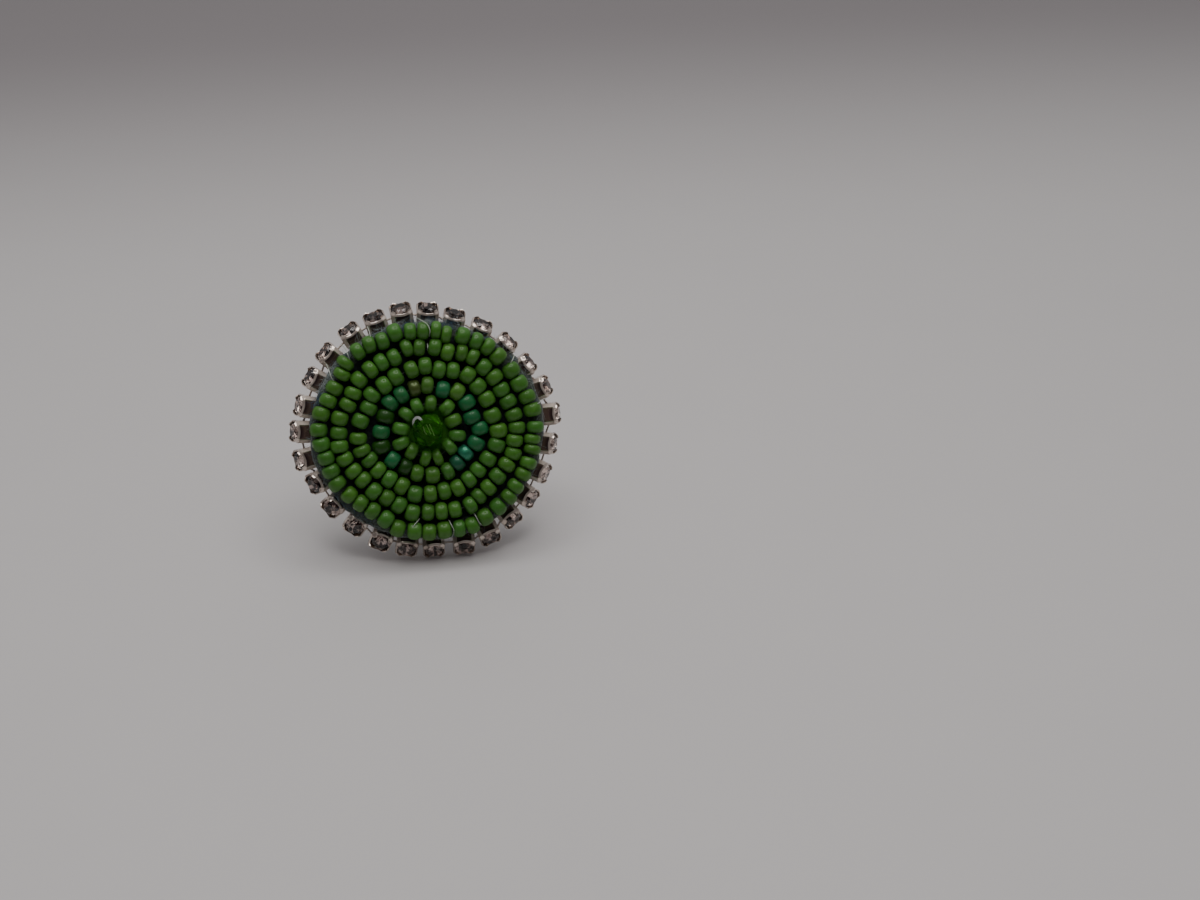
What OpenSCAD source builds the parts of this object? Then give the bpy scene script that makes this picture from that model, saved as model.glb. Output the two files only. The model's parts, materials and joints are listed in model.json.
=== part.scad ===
/* [Beads] */
// Diameter of a seed bead, and so of a ring of them
bead_d = 2.1; // [1.9:0.05:2.15]
// Radius of the innermost ring of beads, measured the wide way
first_ring_r = 3.18; // [3.15:0.01:3.3]
// Distance from one ring of beads to the next
ring_pitch = 2.23; // [2.22:0.01:2.28]
// Height of the disc as a share of its width
oval = 0.95; // [0.94:0.005:1]

/* [Centre crystal] */
// Widest diameter of the crystal, from corner to corner
crystal_d = 4.1; // [3.8:0.05:4.15]
// Length of the crystal along its hole
crystal_l = 4; // [3.6:0.1:4.4]
// Diameter of the crystal's flat ends
crystal_end_d = 1.4; // [1.2:0.1:1.6]
// Diameter of the crystal's hole
crystal_hole_d = 0.9; // [0.6:0.1:1]
// Lean of the crystal off the disc's normal
crystal_lean = 47; // [45:1:50]
// Direction in which the crystal leans, anticlockwise from the right
crystal_lean_to = 145; // [90:1:180]
// Distance of the crystal's middle from the disc's, the way that it leans
crystal_off = 0.2; // [0.1:0.05:0.2]

/* [Foundation and backing] */
// Radius of the felt that the beads are sewn on, measured the wide way
felt_r = 11.8; // [11.6:0.1:11.8]
// Thickness of the felt
felt_t = 1.5; // [1:0.1:1.8]
// Radius of the suede behind the felt, measured the wide way
backing_r = 12.2; // [12:0.1:12.2]
// Thickness of the suede
backing_t = 1.2; // [1:0.1:1.5]

/* [Rim of cups] */
// Radius at which the cups' middles lie, measured the wide way
rim_r = 13.9; // [13.9:0.05:14.4]
// Height of the cups' middles over the felt's front
rim_z = -1.1; // [-1.2:0.05:-1.05]
// Outer width of a square cup
cup_w = 2.55; // [2.5:0.01:2.6]
// Height of a cup's walls at its corners
cup_wall_h = 1.75; // [1.6:0.05:1.8]
// Thickness of a cup's floor
cup_floor_t = 0.15; // [0.1:0.05:0.2]
// Radius of a cup's upright corners
cup_corner_r = 0.25; // [0.2:0.01:0.3]
// Depth of the dip in the top edge of each wall
dip_depth = 0.2; // [0.1:0.05:0.25]
// Thickness of a prong
prong_d = 0.36; // [0.3:0.02:0.38]
// Splay of the two lowest cups, on which the disc stands
seat_splay = 40; // [34:1:42]

/* [Rhinestones] */
// Diameter of a stone across its corners
stone_d = 2.25; // [2.1:0.05:2.3]
// Diameter of a stone's table
table_d = 1.24; // [1:0.02:1.4]
// Height of a stone's crown
crown_h = 0.41; // [0.3:0.01:0.45]
// Height of a stone's pavilion
pavilion_h = 0.86; // [0.7:0.02:0.9]
// Gap between a stone and its cup
stone_gap = 0.05; // [0.03:0.01:0.06]

/* [Links] */
// Diameter of the bar that joins two cups
link_d = 0.32; // [0.3:0.01:0.4]
// Length of a link inside a cup
link_inset = 0.4; // [0.35:0.01:0.45]

/* [Back] */
// Diameter of the pad that is glued to the suede
pad_d = 10; // [8:0.5:12]
// Thickness of the pad
pad_t = 1; // [0.8:0.1:1.2]
// Diameter of the post
post_d = 2.6; // [2:0.1:3]
// Length of the post between the pad and the toggle
post_l = 12.6; // [11:0.2:15]
// Length of the toggle plate
toggle_l = 16; // [15:0.5:17]
// Width of the toggle plate
toggle_w = 6; // [5:0.5:7]
// Thickness of the toggle plate
toggle_t = 2.3; // [2:0.1:2.6]
// Radius of the toggle plate's corners
toggle_corner_r = 1.6; // [1:0.1:2]

/* [Hidden] */
$fn = 48;
facets = 8;
disc_sides = 90;
ring_count = 5;
// Lift that keeps a ring's underside clear of the felt
ring_lift = 0.02;
// Gap between the crystal's lower end and the felt
crystal_gap = 0.08;

// The cups, anticlockwise from the right. The columns are the place round the rim in degrees, the distance
// out from the even oval, the splay towards the front, and the turn about the disc's normal.
ANGLE = 0;
OUT = 1;
SPLAY = 2;
TURN = 3;
CUPS = [
    [2.5, 0.6, 20, -1],
    [16.2, 0.2, 26, 3],
    [29.7, -0.3, 25, 3],
    [44.3, -0.35, 28, -3],
    [59, -0.35, 29, 5],
    [73, -0.25, 30, 1],
    [85.8, 0.15, 33, -2],
    [97.9, 0.4, 33, -2],
    [110.3, 0.4, 30, -5],
    [122.9, 0.5, 28, -4],
    [137.2, 0.5, 24, -2],
    [150.4, 0.35, 23, -3],
    [164.1, 0.4, 20, 1],
    [176.3, 0.65, 22, -2],
    [189.7, 0.6, 28, 1],
    [202.2, 0.1, 38, 0],
    [216.1, 0.15, 47, 0],
    [230, 0.15, 54, 3],
    [244, 0.5, 53, 1],
    [256.2, 0.5, 46, 2],
    [268.5, 0.5, seat_splay, 0],
    [282.7, 0.4, seat_splay, 0],
    [294.5, 0.95, 42, -6],
    [307.2, 0.6, 41, -2],
    [319.9, 0.45, 38, 3],
    [333.4, 0.3, 28, -2],
    [347.9, 0.25, 25, 3]
];
// The two cups that stand on the surface, and the cup after which the chain's ends meet
SEATED = [20, 21];
SEAM = 16;

// Height of the crystal's middle, with the lowest corner of its lower end just over the felt
crystal_z = crystal_l / 2 * cos(crystal_lean) + crystal_end_d / 2 * sin(crystal_lean) + crystal_gap;

// Heights inside a cup, from the underside of its floor
girdle_t = 0.08;
girdle_z = cup_wall_h - dip_depth - 0.05;
cup_mid_z = 1;
bore_d = stone_d + 2 * stone_gap;
slot_w = 1;
slot_h = 1;
slot_z = cup_floor_t + slot_h / 2;
// Half of the stretch of wall that dips
dip_half_w = cup_w / 2 - cup_corner_r;
dip_r = (dip_half_w * dip_half_w + dip_depth * dip_depth) / (2 * dip_depth);
// A prong starts inside the wall's corner and ends over the stone
prong_foot = [1.48, 0, cup_wall_h - 0.2];
prong_tip = [1.05, 0, cup_wall_h + 0.18];

back_z = -felt_t - backing_t;
post_z = back_z - pad_t;
toggle_z = post_z - post_l;
rear_z = toggle_z - toggle_t;

// The disc leans back until its two lowest cups and the toggle's lower edge stand on one surface
seat_y = oval * (rim_r + CUPS[SEATED[0]][OUT]) * sin(CUPS[SEATED[0]][ANGLE]);
seat_top = cup_wall_h - cup_mid_z;
foot_y = seat_y - seat_top * cos(seat_splay) - cup_w / 2 * sin(seat_splay);
foot_z = rim_z + seat_top * sin(seat_splay) - cup_w / 2 * cos(seat_splay);
lean = atan((-toggle_l / 2 - foot_y) / (foot_z - rear_z));
stand_h = -foot_y * cos(lean) - foot_z * sin(lean);

// The part is centred over its origin from the lowest ring's front to the toggle's upper edge
ring_z = bead_d / 2 + ring_lift;
outer_ring_b = oval * (first_ring_r + (ring_count - 1) * ring_pitch);
front_y = -outer_ring_b * sin(lean) - ring_z * cos(lean) - bead_d / 2;
rear_y = toggle_l / 2 * sin(lean) - rear_z * cos(lean);
centre_y = (front_y + rear_y) / 2;

function seated(i) = len([for (s = SEATED) if (s == i) s]) > 0;
function facing(i) = seated(i) ? 270 : CUPS[i][ANGLE] + CUPS[i][TURN];
function cup_centre(i) = [
    (rim_r + CUPS[i][OUT]) * cos(CUPS[i][ANGLE]),
    seated(i) ? seat_y : oval * (rim_r + CUPS[i][OUT]) * sin(CUPS[i][ANGLE]),
    rim_z
];
function along_rim(i) = [-sin(facing(i)), cos(facing(i)), 0];
function outward(i) = [
    cos(CUPS[i][SPLAY]) * cos(facing(i)),
    cos(CUPS[i][SPLAY]) * sin(facing(i)),
    sin(CUPS[i][SPLAY])
];
// The end of a link inside cup i, on its side towards the next cup or the one before
function link_end(i, side) =
    cup_centre(i)
    + side * (cup_w / 2 - link_inset) * along_rim(i)
    + (slot_z - cup_mid_z) * outward(i);
function two_digits(n) = str(n < 10 ? "0" : "", n);
function ring_name(i) = str("bead_ring_", i + 1);
function stone_name(i) = str("rhinestone_", two_digits(i + 1));

// From the disc's own frame, whose normal is +Z, to the pose in which the cufflink stands
module posed()
    translate([0, -centre_y, stand_h])
        rotate([90 - lean, 0, 0])
            children();

module at_cup(i)
    translate(cup_centre(i))
        rotate([0, 90 - CUPS[i][SPLAY], facing(i)])
            translate([0, 0, -cup_mid_z])
                children();

module rod(from, to, d) {
    span = to - from;
    length = norm(span);
    translate(from)
        rotate([0, acos(span.z / length), atan2(span.y, span.x)])
            cylinder(h = length, d = d);
}

module rounded_rectangle(w, l, r) {
    square([w - 2 * r, l], center = true);
    square([w, l - 2 * r], center = true);
    for (x = [-1, 1], y = [-1, 1])
        translate([x * (w / 2 - r), y * (l / 2 - r)])
            circle(r = r);
}

// A flat oval disc with straight sides too short to tell from a curve
module oval_disc(r, t)
    linear_extrude(t)
        polygon([for (a = [0 : 360 / disc_sides : 359]) [r * cos(a), oval * r * sin(a)]]);

// Two cones base to base, with flat ends and a hole for the thread, leaning on one corner of the lower end
module centre_crystal()
    color([0.16, 0.45, 0.12, 0.8])
        posed()
            rotate(crystal_lean_to)
                translate([crystal_off, 0, crystal_z])
                    rotate([0, crystal_lean, 0])
                        rotate_extrude($fn = facets)
                            polygon([
                                [crystal_hole_d / 2, -crystal_l / 2],
                                [crystal_end_d / 2, -crystal_l / 2],
                                [crystal_d / 2, 0],
                                [crystal_end_d / 2, crystal_l / 2],
                                [crystal_hole_d / 2, crystal_l / 2]
                            ]);

module bead_ring(i)
    color([0.3, 0.55, 0.2])
        posed()
            translate([0, 0, ring_z])
                scale([1, oval, 1])
                    rotate_extrude()
                        translate([first_ring_r + i * ring_pitch, 0])
                            circle(d = bead_d);

module foundation_felt()
    color([0.08, 0.12, 0.2])
        posed()
            translate([0, 0, -felt_t])
                oval_disc(felt_r, felt_t);

module backing()
    color([0.12, 0.12, 0.13])
        posed()
            translate([0, 0, back_z])
                oval_disc(backing_r, backing_t);

module prong() {
    rod(prong_foot, prong_tip, prong_d);
    translate(prong_tip)
        sphere(d = prong_d, $fn = 24);
}

module cup() {
    difference() {
        linear_extrude(cup_wall_h)
            rounded_rectangle(cup_w, cup_w, cup_corner_r);
        translate([0, 0, cup_floor_t])
            cylinder(h = cup_wall_h, d = bore_d);
        for (turn = [0, 90])
            rotate(turn)
                translate([0, 0, cup_wall_h - dip_depth + dip_r])
                    rotate([90, 0, 0])
                        cylinder(r = dip_r, h = cup_w + 1, center = true);
        translate([0, 0, slot_z])
            cube([slot_w, cup_w + 1, slot_h], center = true);
    }
    for (corner = [45 : 90 : 315])
        rotate(corner)
            prong();
}

module cup_chain()
    color([0.78, 0.77, 0.75])
        posed() {
            for (i = [0 : len(CUPS) - 1])
                at_cup(i)
                    cup();
            for (i = [0 : len(CUPS) - 1])
                if (i != SEAM)
                    rod(link_end(i, 1), link_end((i + 1) % len(CUPS), -1), link_d);
        }

// A pavilion, a girdle and a crown with its table
module rhinestone(i)
    color([0.85, 0.85, 0.88])
        posed()
            at_cup(i)
                rotate_extrude($fn = facets)
                    polygon([
                        [0, girdle_z - girdle_t - pavilion_h],
                        [stone_d / 2, girdle_z - girdle_t],
                        [stone_d / 2, girdle_z],
                        [table_d / 2, girdle_z + crown_h],
                        [0, girdle_z + crown_h]
                    ]);

module cufflink_back()
    color([0.7, 0.7, 0.7])
        posed() {
            translate([0, 0, post_z])
                cylinder(d = pad_d, h = pad_t);
            translate([0, 0, toggle_z])
                cylinder(d = post_d, h = post_l);
            translate([0, 0, rear_z])
                linear_extrude(toggle_t)
                    rounded_rectangle(toggle_w, toggle_l, toggle_corner_r);
        }

centre_crystal();
for (i = [0 : ring_count - 1])
    bead_ring(i);
foundation_felt();
backing();
cup_chain();
for (i = [0 : len(CUPS) - 1])
    rhinestone(i);
cufflink_back();
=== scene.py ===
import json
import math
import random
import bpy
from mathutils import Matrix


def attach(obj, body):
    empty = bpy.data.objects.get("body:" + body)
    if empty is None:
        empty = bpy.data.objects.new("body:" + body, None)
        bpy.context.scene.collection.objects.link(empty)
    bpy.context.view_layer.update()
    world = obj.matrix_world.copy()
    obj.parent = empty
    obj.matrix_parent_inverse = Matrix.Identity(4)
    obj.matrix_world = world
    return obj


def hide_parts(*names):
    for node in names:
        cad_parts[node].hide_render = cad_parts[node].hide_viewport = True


bl_info = {
    "name": "Beaded cufflink",
    "version": (1, 0, 0),
    "blender": (4, 5, 0),
    "location": "View3D > Sidebar > Cufflink",
    "description": "Builds a beaded cufflink face, its rim of set stones and its metal back",
    "category": "Object",
}

import bmesh
import bpy
from bpy.props import FloatProperty, FloatVectorProperty, IntProperty, PointerProperty
from mathutils import Matrix, Vector
from mathutils.bvhtree import BVHTree

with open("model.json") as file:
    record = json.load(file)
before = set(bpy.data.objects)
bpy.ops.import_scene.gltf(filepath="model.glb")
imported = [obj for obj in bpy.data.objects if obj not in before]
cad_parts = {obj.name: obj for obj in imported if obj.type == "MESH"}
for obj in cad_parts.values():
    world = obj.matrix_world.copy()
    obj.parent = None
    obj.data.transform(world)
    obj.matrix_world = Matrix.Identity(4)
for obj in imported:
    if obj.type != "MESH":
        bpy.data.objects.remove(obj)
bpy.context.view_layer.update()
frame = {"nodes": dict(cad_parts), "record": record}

MM = 0.001
# Points closer than this are one, and points within the second of a height lie at it
SAME = 0.001 * MM
LEVEL = 0.01 * MM
BODY = "root"
RING_NAMES = [f"bead_ring_{ring}" for ring in range(1, 6)]
STONE_NAMES = sorted(name for name in frame["nodes"] if name.startswith("rhinestone_"))
# The chain's two ends meet after this cup, counted from 0
SEAM = 16

# Where each bead sits on its ring, anticlockwise from the right: its angle in degrees, and how far it
# strays outwards in tenths of a millimetre
BEADS = [
    [(18, -2), (49, 2), (83, 0), (111, 0), (139, 0), (172, 0), (201, 3), (228, 0), (259, 1), (282, 2),
     (315, -1), (344, 1)],
    [(357, 4), (13, -3), (33, 0), (51, 2), (68, -3), (88, 0), (104, -1), (122, -1), (139, 1), (157, -2),
     (177, 0), (195, 3), (216, 0), (234, -3), (251, -1), (270, 0), (289, 0), (305, -3), (322, -4), (339, 2)],
    [(9, -2), (25, -1), (39, 0), (52, 3), (65, 0), (77, -3), (89, 1), (101, -1), (116, -2), (129, -2),
     (142, 1), (154, -3), (167, 2), (182, 4), (193, 3), (203, -1), (215, -2), (228, -3), (241, -3), (254, 2),
     (267, 0), (279, -1), (291, 1), (303, -1), (315, -2), (328, 0), (342, 3), (355, 3)],
    [(6, 0), (16, -2), (26, -3), (36, -1), (46, -1), (56, 2), (64, 1), (73, -3), (82, 1), (92, 1),
     (100, 3), (110, -3), (119, -1), (128, 0), (138, 1), (148, -2), (157, -2), (167, 3), (177, 3), (186, 4),
     (195, 2), (205, -1), (214, -4), (225, -3), (235, -5), (245, -3), (255, 2), (265, 0), (274, 0), (283, 2),
     (293, 4), (301, 0), (310, -1), (320, -2), (330, 0), (339, 2), (348, 0), (357, 2)],
    [(7, 0), (15, -2), (24, -4), (33, -3), (44, -3), (52, -1), (59, -2), (67, -2), (76, -5), (82, -1),
     (89, -2), (96, -1), (104, 2), (112, -2), (119, 2), (126, 3), (135, 3), (141, -2), (150, -3), (158, -2),
     (166, 2), (175, 3), (183, 1), (191, -1), (199, -1), (207, 0), (216, -3), (224, -5), (232, -6), (241, -4),
     (249, 2), (258, 1), (266, 2), (274, 1), (282, 3), (289, 5), (297, 3), (306, 2), (314, 2), (321, 0),
     (329, 0), (336, 0), (344, 0), (350, -2), (357, 1)],
]
# The odd colours of the second ring, bead by bead in the same order
SECOND_RING = (
    "teal teal teal light teal light gold teal teal dark "
    "teal dark teal dark green green green blue shiny teal"
).split()
# Loose ends and stitches that show, each a run of (angle in degrees, radius, height) in millimetres
STITCHES = [
    [(91.6, 13.5, 0.4), (89.1, 13.1, 1.6), (86.6, 12.6, 2.0), (85.5, 11.9, 2.1), (85.6, 11.2, 1.3)],
    [(102.3, 13.0, 0.5), (101.6, 12.6, 1.4), (101.1, 12.25, 1.8), (101, 11.85, 1.5), (101.2, 11.5, 0.7)],
    [(86.8, 10.4, 1.2), (86.8, 10.2, 1.8), (86.9, 9.9, 1.95), (87, 9.6, 1.2)],
    [(114.8, 14.2, 0.0), (115.2, 13.7, 0.9), (116.2, 13.0, 1.5), (117.2, 12.3, 1.2)],
    [(129.4, 14.2, 0.0), (129.6, 13.6, 0.9), (130.8, 12.9, 1.5), (132.3, 12.2, 1.3)],
    [(141.2, 14.0, 0.1), (142.4, 13.5, 1.2), (145.4, 12.7, 1.7), (147.2, 12.0, 1.2)],
    [(260, 10.7, 1.2), (258.4, 11.0, 1.9), (256.3, 11.7, 2.0), (255, 12.3, 1.4)],
    [(277.6, 11.1, 1.0), (278, 11.5, 1.9), (278.8, 12.4, 1.9), (277.8, 13.1, 1.0), (276.6, 13.5, 0.2)],
    [(292.6, 11.2, 1.0), (292.8, 11.6, 1.9), (292.8, 12.5, 1.9), (293.7, 13.2, 0.9)],
    [(9, 12.4, 1.3), (10.2, 13.0, 1.7), (11, 13.6, 0.9), (10.8, 14.0, 0.1)],
    [(36.2, 12.0, 1.4), (37.2, 12.6, 1.7), (38.2, 13.3, 0.8)],
]
# The thread's loop over the crystal's tip: the turn about its axis in degrees, how far it widens there as
# a share and its height over the end, and the radius of each of its strands, in millimetres
LOOP = [
    (-44, -0.05, -0.5), (-24, 0.0, -0.12), (6, 0.08, 0.05), (34, 0.18, 0.08), (62, 0.14, 0.08),
    (92, 0.0, 0.02), (116, -0.2, -0.25),
]
LOOP_RADII = (0.56, 0.63, 0.7, 0.77)
# Strands that lie on the crystal, each from one (x, y) to another in the disc's frame, in millimetres
STRANDS = [
    [(-0.78, 0.66), (-0.7, 0.3), (-0.6, 0.0), (-0.43, -0.27)],
    [(-0.42, 0.86), (-0.27, 0.5), (-0.12, 0.1), (0.03, -0.25)],
    [(-0.06, 0.86), (0.06, 0.5), (0.2, 0.1), (0.42, -0.5)],
]
# How thick the loose fibres stand round the disc, from one angle in degrees to the next
FUZZ = [
    (0, 0.15), (60, 0.2), (75, 0.5), (84, 1.0), (104, 1.0), (112, 0.5), (132, 0.6), (140, 1.0), (160, 1.0),
    (170, 0.4), (215, 0.3), (250, 0.3), (290, 0.35), (310, 0.15), (360, 0.15),
]


def srgb(red, green, blue):
    """A colour given in 0 to 255 as a screen shows it, as the linear colour that a shader takes."""
    def linear(channel):
        share = channel / 255
        return share / 12.92 if share <= 0.04045 else ((share + 0.055) / 1.055) ** 2.4
    return (linear(red), linear(green), linear(blue), 1.0)


def length_property(name, description, millimetres):
    return FloatProperty(name=name, description=description, default=millimetres * MM, unit="LENGTH")


def angle_property(name, description, degrees):
    return FloatProperty(
        name=name, description=description, default=math.radians(degrees), unit="ROTATION"
    )


def colour_property(name, description, red, green, blue):
    return FloatVectorProperty(
        name=name, description=description, subtype="COLOR", size=4, default=srgb(red, green, blue)
    )


class BeadSettings(bpy.types.PropertyGroup):
    diameter: length_property("Bead diameter", "Outer diameter of a seed bead", 2.1)
    hole: length_property("Hole diameter", "Diameter of a bead's hole", 0.8)
    longest: length_property("Longest bead", "Greatest length of a bead along its thread", 1.72)
    first_ring: length_property(
        "First ring radius", "Radius of the innermost ring, measured the wide way", 3.18
    )
    pitch: length_property("Ring pitch", "Distance from one ring to the next", 2.23)
    oval: FloatProperty(
        name="Oval", description="Height of the disc as a share of its width", default=0.95, min=0.9, max=1.0
    )
    sides: IntProperty(name="Bead sides", description="Sides of a bead's mesh", default=14, min=10, max=16)
    green: colour_property("Bead green", "Colour of the common beads", 64, 117, 38)
    thread: length_property("Thread thickness", "Diameter of the beading thread", 0.13)
    stitch: length_property("Stitch thickness", "Diameter of the thread in the stitches that show", 0.1)


class CrystalSettings(bpy.types.PropertyGroup):
    colour: colour_property("Crystal colour", "Colour of the crystal's glass", 72, 160, 32)
    edge: length_property("Facet edge", "Width of the polished edges between the facets", 0.06)
    length: length_property("Crystal length", "Length of the crystal along its hole", 4)
    lean: angle_property("Lean", "Lean of the crystal off the disc's normal", 47)
    lean_to: angle_property(
        "Lean direction", "Direction in which the crystal's tip leans, from the right", 145
    )
    loop: length_property("Loop thickness", "Diameter of the thread looped over the crystal's tip", 0.11)


class RimSettings(bpy.types.PropertyGroup):
    width: length_property("Cup width", "Outer width of a square cup", 2.55)
    height: length_property("Wall height", "Height of a cup's walls at its corners", 1.75)
    tip_height: length_property("Prong height", "Height of the prongs folded in over a stone", 1.9)
    table_height: length_property(
        "Table height", "Height of a stone's table over the underside of its cup", 1.91
    )
    sheet: length_property("Sheet thickness", "Thickness of the cups' metal", 0.17)
    stone: length_property("Stone diameter", "Diameter of a stone", 2.25)
    link: length_property("Link thickness", "Diameter of the bar between two cups", 0.22)
    link_height: length_property("Link height", "Height of the bars over the underside of the cups", 0.6)
    metal: colour_property("Chain colour", "Colour of the plated cups", 216, 204, 193)


class BackSettings(bpy.types.PropertyGroup):
    edge: length_property("Edge radius", "Radius of the metal back's rounded edges", 0.3)
    fibre_density: FloatProperty(
        name="Fibre density", description="Loose felt fibres on each square metre where they are thickest",
        default=9.0e7,
    )
    fibre_length: length_property("Fibre length", "Length of the longest loose fibres", 1.1)
    fibre_lean: angle_property("Fibre lean", "Farthest that a loose fibre leans over", 62)
    felt: colour_property("Felt colour", "Colour of the felt", 22, 31, 34)
    trim: colour_property("Felt edge colour", "Colour of the felt's worn edge", 60, 70, 64)
    suede: colour_property("Suede colour", "Colour of the backing", 46, 43, 43)


class StageSettings(bpy.types.PropertyGroup):
    azimuth: angle_property("Camera azimuth", "Direction of the camera about the object", -4)
    elevation: angle_property("Camera elevation", "Height of the camera above the horizon", 27)
    distance: length_property("Camera distance", "Distance from the camera to the disc", 200)
    view_width: length_property("View width", "Width that the picture spans at the disc", 138.1)
    disc_left: length_property("Disc left", "How far the disc lies left of the picture's middle", 19.62)
    disc_up: length_property("Disc up", "How far the disc lies above the picture's middle", 3.36)
    lamp: length_property("Lamp diameter", "Outer diameter of the ring lamp overhead", 236)
    lamp_hole: length_property("Lamp hole", "Diameter of the ring lamp's dark middle", 90)
    lamp_height: length_property("Lamp height", "Height of the ring lamp above the floor", 254)
    lamp_right: length_property("Lamp right", "How far the ring lamp hangs right of the object", 6)
    lamp_front: length_property("Lamp front", "How far the ring lamp hangs in front of the object", 24)
    lamp_glow: FloatProperty(name="Lamp glow", description="Strength of the ring lamp", default=4.2)
    floor: colour_property("Floor colour", "Colour of the floor", 199, 197, 197)


class Wire:
    """A node's output in an expression. Each operator adds the Math node that it needs."""

    def __init__(self, tree, socket):
        self.tree = tree
        self.socket = socket

    def math(self, operation, first, second):
        return self.tree.add("ShaderNodeMath", {"operation": operation}, {0: first, 1: second})

    def __add__(self, other):
        return self.math("ADD", self, other)

    def __sub__(self, other):
        return self.math("SUBTRACT", self, other)

    def __rsub__(self, other):
        return self.math("SUBTRACT", other, self)

    def __mul__(self, other):
        return self.math("MULTIPLY", self, other)

    __radd__ = __add__
    __rmul__ = __mul__

    def between(self, low, high):
        """0 at low, 1 at high and a soft slope between them."""
        return self.tree.add(
            "ShaderNodeMapRange", {"interpolation_type": "SMOOTHSTEP"},
            {"Value": self, "From Min": low, "From Max": high},
        )


class Tree:
    """A node tree in the making: of a material, of the world or of a Geometry Nodes group."""

    def __init__(self, tree):
        self.tree = tree

    def feed(self, socket, value):
        if isinstance(value, Wire):
            self.tree.links.new(value.socket, socket)
        else:
            socket.default_value = value

    def node(self, kind, settings=None, sockets=None):
        """Adds a node of that kind, with its settings first and then its sockets' values or links."""
        made = self.tree.nodes.new(kind)
        for name, value in (settings or {}).items():
            setattr(made, name, value)
        for name, value in (sockets or {}).items():
            self.feed(made.inputs[name], value)
        return made

    def add(self, kind, settings=None, sockets=None, output=0):
        """Adds a node and gives the wire from one of its outputs."""
        return Wire(self, self.node(kind, settings, sockets).outputs[output])

    def split(self, vector):
        """The wires of a vector's three parts."""
        return [Wire(self, output) for output in self.node("ShaderNodeSeparateXYZ", {}, {0: vector}).outputs]

    def blend(self, factor, first, second):
        """Two colours mixed."""
        return self.add("ShaderNodeMix", {"data_type": "RGBA"}, {0: factor, 6: first, 7: second}, 2)


class Finish(Tree):
    """A material: one Principled shader with its constants, and what varies over the surface linked to it."""

    def __init__(self, name, constants):
        self.material = bpy.data.materials.new(name)
        self.material.use_nodes = True
        super().__init__(self.material.node_tree)
        self.shader = self.tree.nodes["Principled BSDF"]
        for socket, value in constants.items():
            self.shader.inputs[socket].default_value = value

    def place(self):
        """The object's own coordinates, in which a unit is a metre."""
        return self.add("ShaderNodeTexCoord", output="Object")

    def noise(self, scale, detail=3.0, roughness=0.5):
        return self.add("ShaderNodeTexNoise", {}, {
            "Vector": self.place(), "Scale": scale, "Detail": detail, "Roughness": roughness,
        }, "Fac")

    def attribute(self, name, output="Fac"):
        return self.add("ShaderNodeAttribute", {"attribute_name": name}, output=output)

    def vary(self, **wires):
        """Links wires to the shader's sockets, named with underscores for spaces."""
        for name, wire in wires.items():
            self.feed(self.shader.inputs[name.replace("_", " ")], wire)

    def bump(self, height, distance, strength):
        """Relief of that height, in metres."""
        self.vary(Normal=self.add(
            "ShaderNodeBump", {}, {"Height": height, "Distance": distance, "Strength": strength}, "Normal"
        ))


class Builder(Tree):
    """A Geometry Nodes group with named inputs. It ends in Realize Instances and Set Material."""

    def __init__(self, name):
        super().__init__(bpy.data.node_groups.new(name, "GeometryNodeTree"))
        self.entry = self.node("NodeGroupInput")
        self.geometry = self.input("Geometry", "NodeSocketGeometry")

    def input(self, name, kind="NodeSocketFloat"):
        self.tree.interface.new_socket(name, in_out="INPUT", socket_type=kind)
        return Wire(self, self.entry.outputs[name])

    def named(self, name, kind="FLOAT_VECTOR"):
        return self.add("GeometryNodeInputNamedAttribute", {"data_type": kind}, {"Name": name}, "Attribute")

    def shape(self, name):
        """The mesh of an object that the group takes as an input."""
        chosen = self.input(name, "NodeSocketObject")
        return self.add("GeometryNodeObjectInfo", {}, {"Object": chosen}, "Geometry")

    def close(self, geometry):
        material = self.input("Material", "NodeSocketMaterial")
        real = self.add("GeometryNodeRealizeInstances", {}, {"Geometry": geometry})
        dressed = self.add("GeometryNodeSetMaterial", {}, {"Geometry": real, "Material": material})
        self.tree.interface.new_socket("Geometry", in_out="OUTPUT", socket_type="NodeSocketGeometry")
        self.node("NodeGroupOutput", {}, {0: dressed})
        return self.tree


def shapes_on_points():
    """A shape on each point, turned and stretched as the point's attributes say."""
    tree = Builder("Shapes on points")
    shape = tree.shape("Shape")
    size = tree.input("Size", "NodeSocketVector")
    stretch = tree.add(
        "ShaderNodeVectorMath", {"operation": "MULTIPLY"}, {0: tree.named("stretch"), 1: size}
    )
    turn = tree.add("FunctionNodeEulerToRotation", {}, {0: tree.named("turn")})
    return tree.close(tree.add(
        "GeometryNodeInstanceOnPoints", {},
        {"Points": tree.geometry, "Instance": shape, "Rotation": turn, "Scale": stretch},
    ))


def thread_on_edges():
    """A round thread along the edges of a mesh."""
    tree = Builder("Thread on edges")
    radius = tree.input("Radius")
    sides = tree.input("Sides", "NodeSocketInt")
    path = tree.add("GeometryNodeMeshToCurve", {}, {0: tree.geometry})
    section = tree.add("GeometryNodeCurvePrimitiveCircle", {}, {"Resolution": sides, "Radius": radius})
    tube = tree.add(
        "GeometryNodeCurveToMesh", {}, {"Curve": path, "Profile Curve": section, "Fill Caps": True}
    )
    return tree.close(tree.add("GeometryNodeSetShadeSmooth", {}, {0: tube}))


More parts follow.
